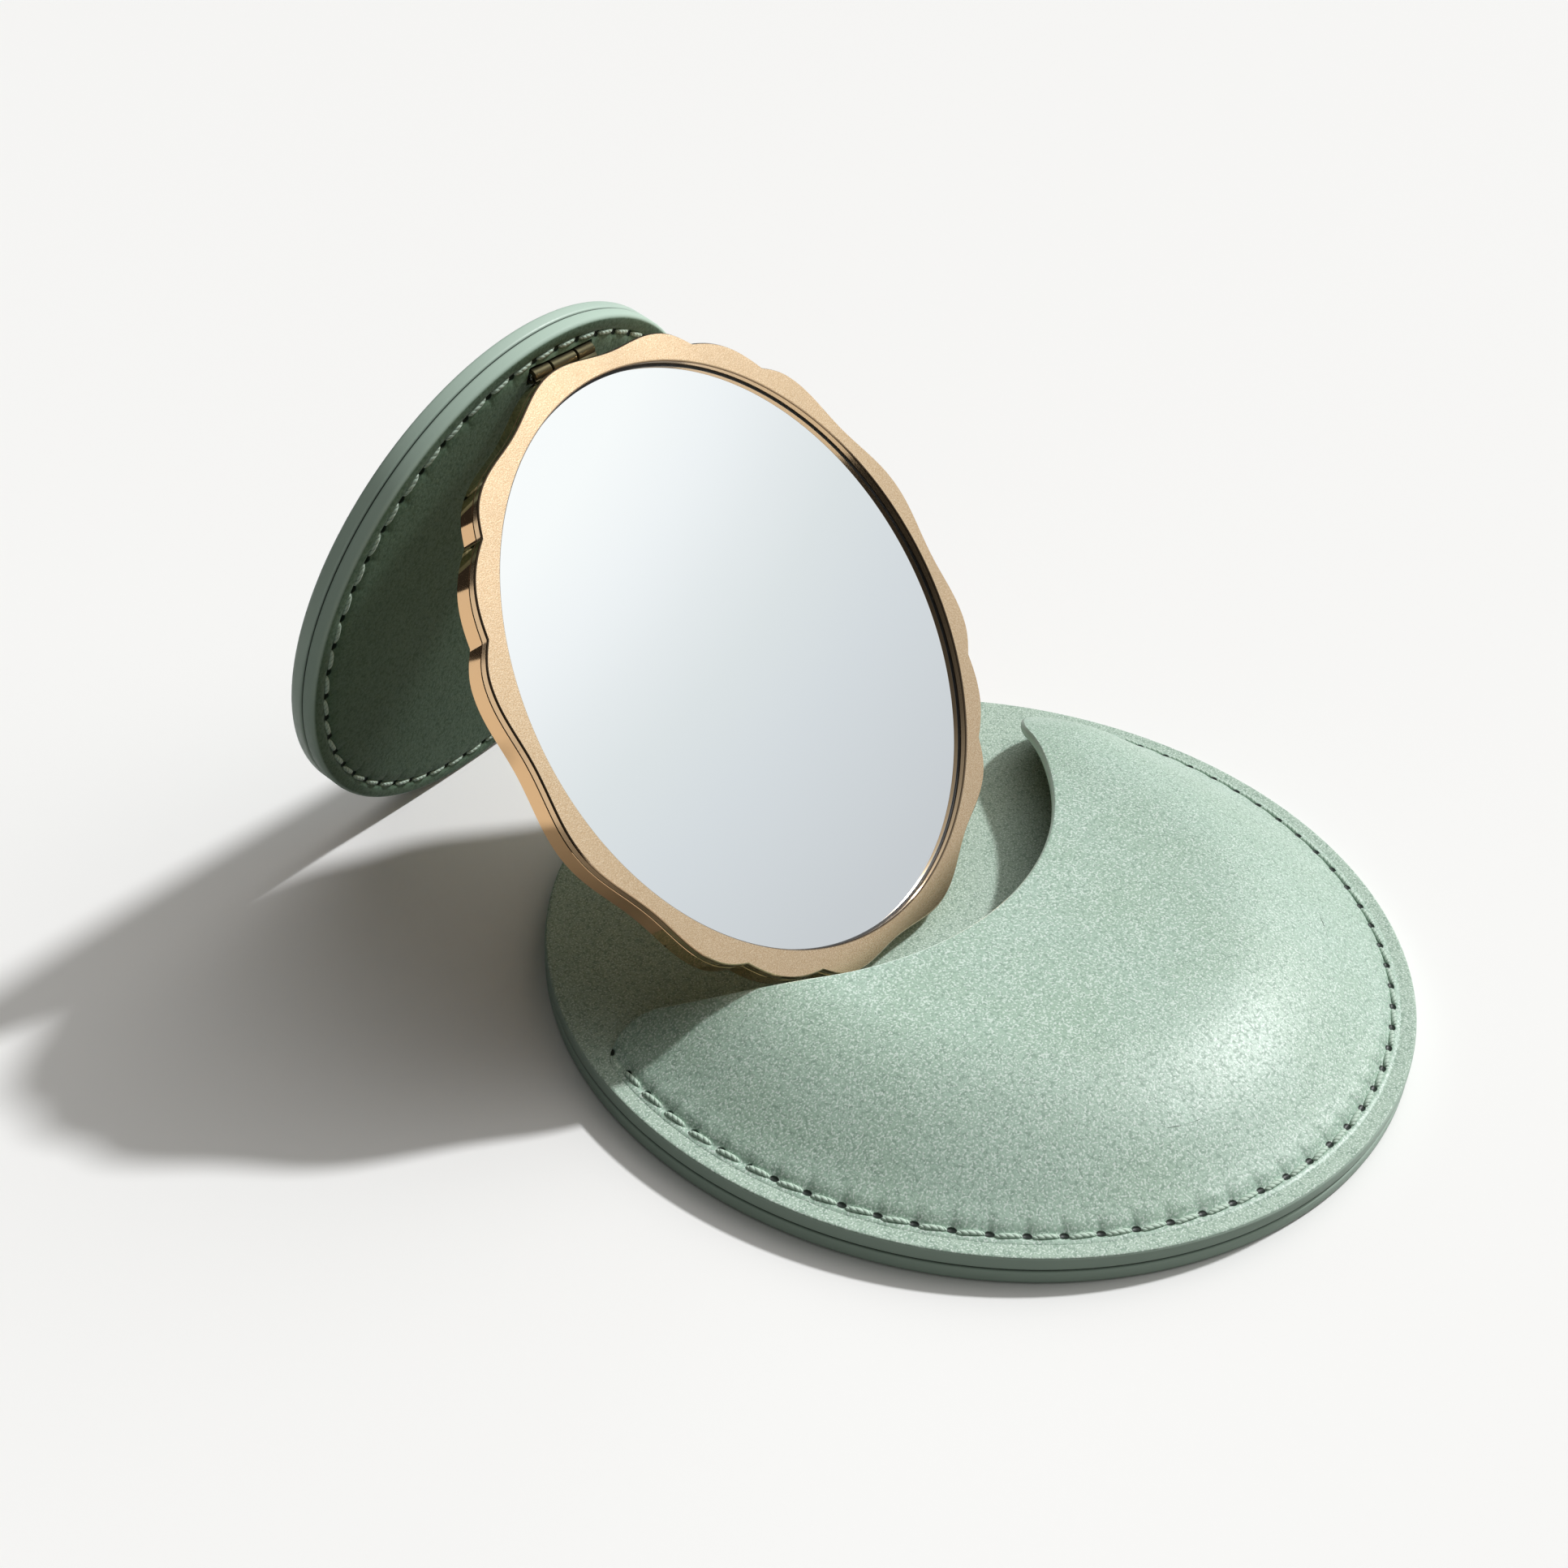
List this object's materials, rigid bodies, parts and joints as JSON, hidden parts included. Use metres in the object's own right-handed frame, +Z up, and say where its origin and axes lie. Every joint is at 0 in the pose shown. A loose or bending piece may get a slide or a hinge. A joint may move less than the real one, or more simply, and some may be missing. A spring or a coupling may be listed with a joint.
{
  "type": "compact mirror",
  "caption": "Round compact mirror in a lobed gilt frame, standing on its hinged leather leaf in the mouth of a round leather slip pouch.",
  "frame": {"origin": "centre of the pouch's underside, on the table", "axes": "+Z up; the mouth of the pocket opens towards +Y; the mirror's glass faces -Y and up; +X runs along the leaf's hinge pin"},
  "size_m": [0.095, 0.119, 0.0618],
  "materials": {
    "sage_leather": "fine pebbled grain, satin",
    "lining": "matt",
    "board": "raw pressed board",
    "thread": "twisted thread",
    "satin_gilt": "blasted satin, rose gold tone",
    "bright_gilt": "polished, rose gold tone",
    "seal": "matt black",
    "mirror_glass": "back-silvered",
    "pad": "foam tape",
    "steel": "drawn wire"
  },
  "bodies": {
    "pouch": {"pouch_back_leather": "sage_leather", "pouch_board": "board", "pouch_inner_leather": "sage_leather", "pocket_panel": "sage_leather", "pocket_lining": "lining", "pouch_top_stitches": "thread", "pouch_under_stitches": "thread"},
    "mirror": {"front_bezel": "satin_gilt", "rim_case": "bright_gilt", "glass_seal": "seal", "mirror_glass": "mirror_glass", "adhesive_pad": "pad", "rear_plate": "bright_gilt", "case_hinge_plate": "bright_gilt", "hinge_pin": "steel", "hinge_rivets": "bright_gilt"},
    "leaf": {"leaf_front_leather": "sage_leather", "leaf_board": "board", "leaf_back_leather": "sage_leather", "leaf_hinge_plate": "bright_gilt", "leaf_rivets": "bright_gilt", "leaf_front_stitches": "thread", "leaf_back_stitches": "thread"}
  },
  "joints": [
    {"name": "mirror_lift", "type": "slide", "parent": "pouch", "child": "mirror", "axis": [0, 0, 1], "range_m": [0, 0.035]},
    {"name": "leaf_hinge", "type": "hinge", "parent": "mirror", "child": "leaf", "pos_m": [-0.006, 0.05339, 0.0571], "axis": [1, 0, 0], "range_deg": [-55.02, 0]}
  ],
  "couplings": [
    {"joint": "leaf_hinge", "follows": "mirror_lift", "rad_per_m": -27.44}
  ]
}
